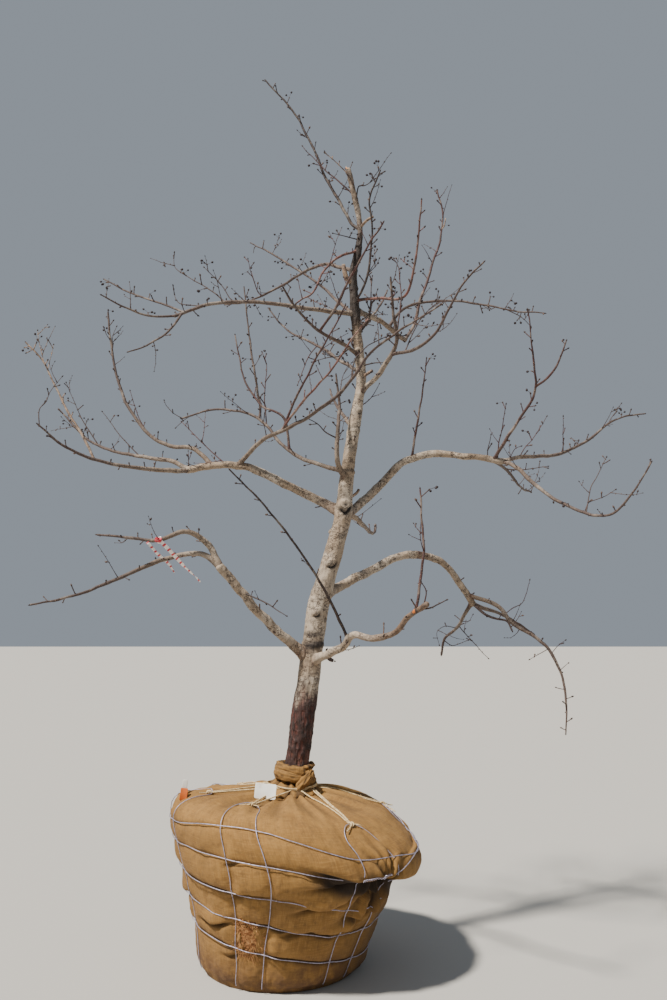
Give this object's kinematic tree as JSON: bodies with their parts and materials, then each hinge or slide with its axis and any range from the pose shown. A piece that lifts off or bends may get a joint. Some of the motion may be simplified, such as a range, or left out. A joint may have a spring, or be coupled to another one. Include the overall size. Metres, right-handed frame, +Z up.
{
  "type": "leafless young fruit tree on its root ball",
  "caption": "Young leafless fruit tree with a leaning central leader and whorls of bent boughs, standing on a burlap root ball in a wire basket.",
  "frame": {"origin": "centre of the root ball's flat underside", "axes": "+Z up along the tree, +X to the right and +Y away from the viewer of the front"},
  "size_m": [2.8981, 1.3699, 3.9171],
  "materials": {
    "bark": "matte",
    "burlap": "matte",
    "basket_wire": "satin",
    "twine": "matte",
    "card": "matte",
    "tape": "satin"
  },
  "bodies": {
    "root": {"arch_drop_limb": "bark", "arch_fall": "bark", "arch_rise": "bark", "arch_short_limb": "bark", "arch_weeping_end": "bark", "blank_card_tag": "card", "blank_marker_tag": "card", "burlap_collar": "burlap", "crossing_fork_long": "bark", "crossing_fork_short": "bark", "crossing_limb": "bark", "drooping_shoot": "bark", "fifth_left_bough": "bark", "fourth_left_bough": "bark", "fourth_left_lower_fork": "bark", "fourth_left_outer_fork": "bark", "fourth_left_upper_fork": "bark", "front_upright_shoot": "bark", "front_whip": "bark", "hooked_bough": "bark", "hooked_bough_upright": "bark", "leading_shoot": "bark", "lower_back_bough": "bark", "lower_left_bough": "bark", "lower_left_lower_fork": "bark", "lower_left_upper_fork": "bark", "lower_right_bough": "bark", "lower_right_shoot": "bark", "marking_tape": "tape", "middle_back_bough": "bark", "pale_left_shoot": "bark", "right_back_fork": "bark", "right_front_fork": "bark", "right_level_bough": "bark", "right_straight_fork": "bark", "right_upper_fork": "bark", "right_upper_side_shoot": "bark", "right_upright_shoot": "bark", "right_whip": "bark", "root_ball": "burlap", "salmon_shoot": "bark", "second_left_bough": "bark", "second_left_lower_fork": "bark", "second_left_upper_fork": "bark", "second_right_bough": "bark", "seventh_left_bough": "bark", "side_stem": "bark", "sixth_left_bough": "bark", "third_left_bough": "bark", "third_left_inner_shoot": "bark", "third_left_outer_shoot": "bark", "trunk": "bark", "twine": "twine", "upper_back_bough": "bark", "upper_left_back_bough": "bark", "upper_right_bough": "bark", "upper_right_outer_fork": "bark", "upswept_left_limb": "bark", "wire_basket": "basket_wire"}
  },
  "joints": []
}
